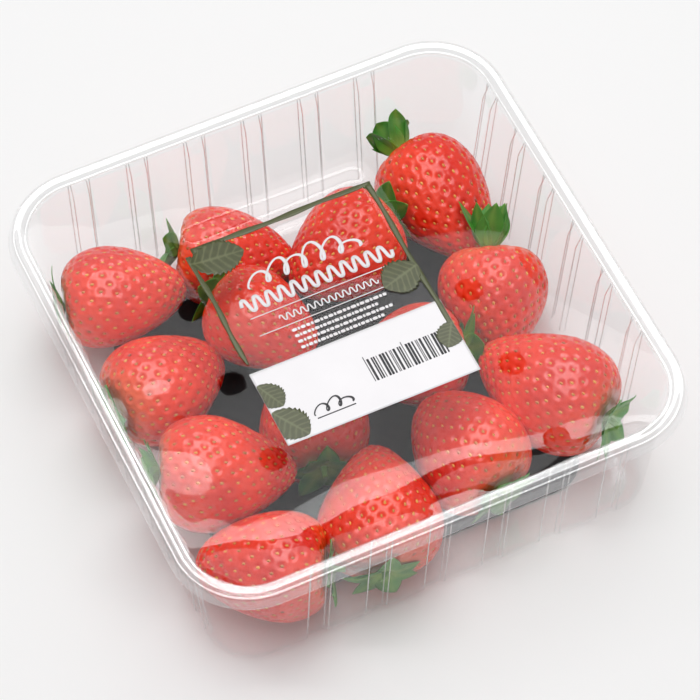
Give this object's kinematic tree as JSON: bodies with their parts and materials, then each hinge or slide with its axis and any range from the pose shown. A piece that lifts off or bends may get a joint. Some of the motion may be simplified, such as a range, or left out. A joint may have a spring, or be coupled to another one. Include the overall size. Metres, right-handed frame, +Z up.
{
  "type": "punnet of strawberries",
  "caption": "Clear ribbed tray of large strawberries, sealed with a clear film lid that has round vent holes and a thin printed label.",
  "frame": {"origin": "middle of the base, where the tray stands", "axes": "+X along the front edge to the right, +Y to the back, +Z up"},
  "size_m": [0.174, 0.174, 0.0582],
  "materials": {
    "tray": "gloss",
    "film_lid": "gloss",
    "label": "gloss",
    "pad": "matte",
    "berries": "satin"
  },
  "bodies": {
    "root": {"tray": "tray", "film_lid": "film_lid", "label": "label", "pad": "pad", "berries": "berries"}
  },
  "joints": []
}
